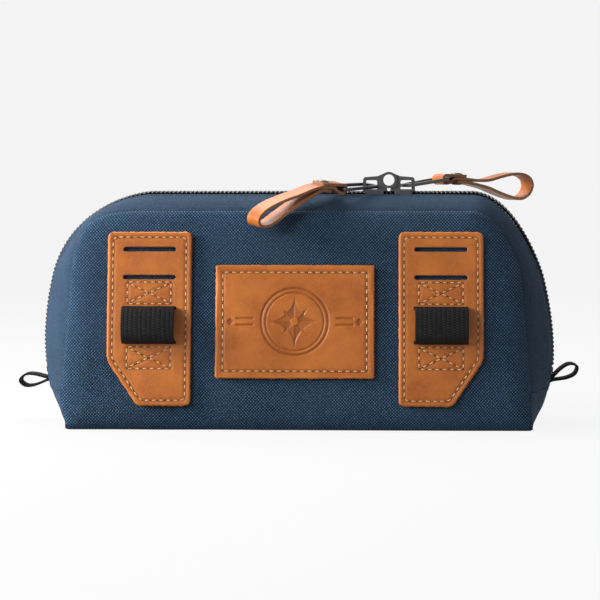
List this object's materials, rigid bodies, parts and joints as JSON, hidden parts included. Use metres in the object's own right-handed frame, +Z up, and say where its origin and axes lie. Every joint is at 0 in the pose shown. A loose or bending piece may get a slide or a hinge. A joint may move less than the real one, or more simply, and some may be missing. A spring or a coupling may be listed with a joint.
{
  "type": "zip organizer pouch",
  "caption": "Boxy padded fabric organizer pouch with a two-way zip arching over the top, leather lash patches with webbing loops, a stitched leather badge and leather zip pulls.",
  "frame": {"origin": "middle of the flat base, on the surface it stands on", "axes": "+X along the zip towards the wearer's right as the front is seen, -Y out of the front panel, +Z up"},
  "size_m": [0.2782, 0.093, 0.1234],
  "materials": {
    "navy_fabric": "coarse woven canvas, matte",
    "lining_fabric": "plain woven lining, matte",
    "foam": "closed foam padding",
    "base_board": "stiff board",
    "leather": "smooth vegetable-tanned leather with raw edges",
    "webbing": "ribbed black webbing",
    "thread": "waxed thread",
    "zip_tape": "woven zip tape",
    "zip_teeth": "moulded coil teeth",
    "black_metal": "gloss black coated metal"
  },
  "bodies": {
    "root": {"base_panel": "navy_fabric", "base_board": "base_board", "base_lining": "lining_fabric", "back_panel": "navy_fabric", "back_foam": "foam", "back_lining": "lining_fabric", "rear_gusset": "navy_fabric", "rear_gusset_lining": "lining_fabric", "rear_seam_binding": "webbing", "zip_tape_rear": "zip_tape", "zip_coil_rear": "zip_teeth", "side_panel_left": "navy_fabric", "side_panel_right": "navy_fabric", "side_lining_left": "lining_fabric", "side_lining_right": "lining_fabric", "inner_pocket": "lining_fabric", "pocket_elastic": "webbing", "zip_end_stops": "black_metal"},
    "front": {"front_panel": "navy_fabric", "front_foam": "foam", "front_lining": "lining_fabric", "front_gusset": "navy_fabric", "front_gusset_lining": "lining_fabric", "front_seam_binding": "webbing", "zip_tape_front": "zip_tape", "zip_coil_front": "zip_teeth", "lash_patch_left": "leather", "lash_patch_right": "leather", "webbing_loop_left": "webbing", "webbing_loop_right": "webbing", "badge": "leather", "patch_thread_left": "thread", "patch_thread_right": "thread", "badge_thread": "thread"},
    "left_slider": {"slider_left": "black_metal"},
    "right_slider": {"slider_right": "black_metal"},
    "left_link": {"pull_link_left": "black_metal"},
    "right_link": {"pull_link_right": "black_metal"},
    "left_pull": {"leather_pull_left": "leather", "rivet_left": "black_metal"},
    "right_pull": {"leather_pull_right": "leather", "rivet_right": "black_metal"},
    "left_tab": {"side_tab_left": "webbing"},
    "right_tab": {"side_tab_right": "webbing"}
  },
  "joints": [
    {"name": "front_opens", "type": "hinge", "parent": "root", "child": "front", "pos_m": [0, -0.042, 0.001], "axis": [1, 0, 0], "range_deg": [0, 30]},
    {"name": "left_slider_travel", "type": "slide", "parent": "front", "child": "left_slider", "axis": [-1, 0, 0], "range_m": [0, 0.09]},
    {"name": "right_slider_travel", "type": "slide", "parent": "front", "child": "right_slider", "axis": [1, 0, 0], "range_m": [0, 0.025]},
    {"name": "left_link_lift", "type": "hinge", "parent": "left_slider", "child": "left_link", "pos_m": [0.0368, 0, 0.1168], "axis": [-0.6018, 0.7865, 0.139], "range_deg": [0, 60]},
    {"name": "right_link_lift", "type": "hinge", "parent": "right_slider", "child": "right_link", "pos_m": [0.0538, 0, 0.1168], "axis": [0.5, -0.866, 0], "range_deg": [0, 60]},
    {"name": "left_pull_swing", "type": "hinge", "parent": "left_link", "child": "left_pull", "pos_m": [0.02005, -0.01262, 0.1157], "axis": [-0.6018, 0.7865, 0.139], "range_deg": [0, 30]},
    {"name": "right_pull_swing", "type": "hinge", "parent": "right_link", "child": "right_pull", "pos_m": [0.07181, 0.0104, 0.11972], "axis": [0.5, -0.866, 0], "range_deg": [0, 30]},
    {"name": "left_tab_flap", "type": "hinge", "parent": "root", "child": "left_tab", "pos_m": [-0.12347, 0, 0.0205], "axis": [0, 1, 0], "range_deg": [-45, 35], "stiffness_Nm_per_rad": 0.002},
    {"name": "right_tab_flap", "type": "hinge", "parent": "root", "child": "right_tab", "pos_m": [0.12539, 0, 0.0205], "axis": [0, -1, 0], "range_deg": [-45, 8], "stiffness_Nm_per_rad": 0.002}
  ]
}
